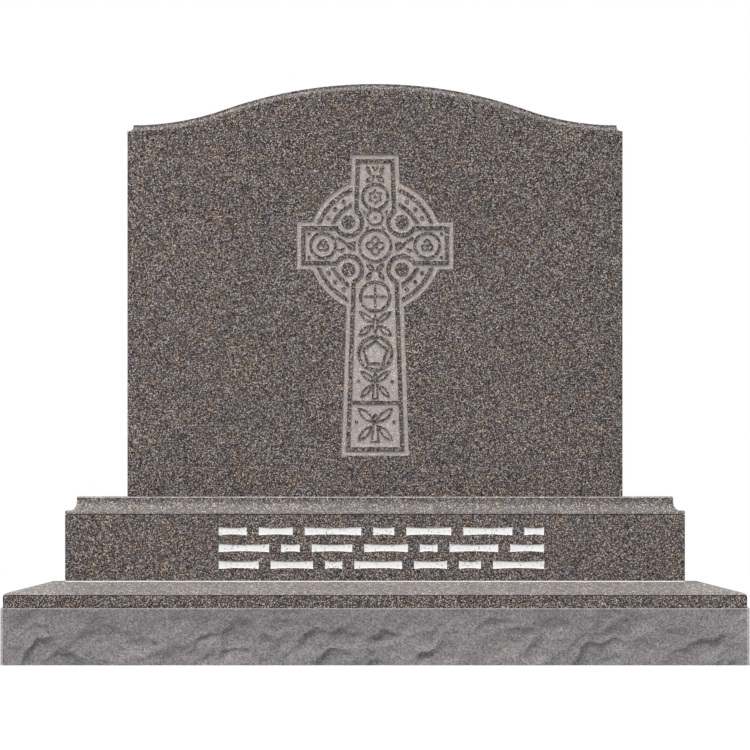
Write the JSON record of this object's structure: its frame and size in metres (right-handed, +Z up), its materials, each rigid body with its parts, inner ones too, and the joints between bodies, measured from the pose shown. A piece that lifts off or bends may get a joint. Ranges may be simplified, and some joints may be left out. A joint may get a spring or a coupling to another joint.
{
  "type": "celtic cross headstone",
  "caption": "Granite memorial: a serpentine-top tablet with a carved Celtic cross, on a coved plinth, a bevelled base and a rock-faced course.",
  "frame": {"origin": "middle of the underside of the rock-faced course, on the ground", "axes": "+X along the width, to the right seen from the front; -Y is the carved front; +Z up"},
  "size_m": [1.379, 0.5408, 1.072],
  "materials": {
    "polished_granite": "polished, with honed coves and wash and a sandblasted cross",
    "setting_mortar": "matt",
    "rock_faced_granite": "rock faced, with a chiselled draft"
  },
  "bodies": {
    "root": {"tablet": "polished_granite", "plinth": "polished_granite", "bed_joint": "setting_mortar", "bevelled_base": "polished_granite", "rock_faced_course": "rock_faced_granite"}
  },
  "joints": []
}
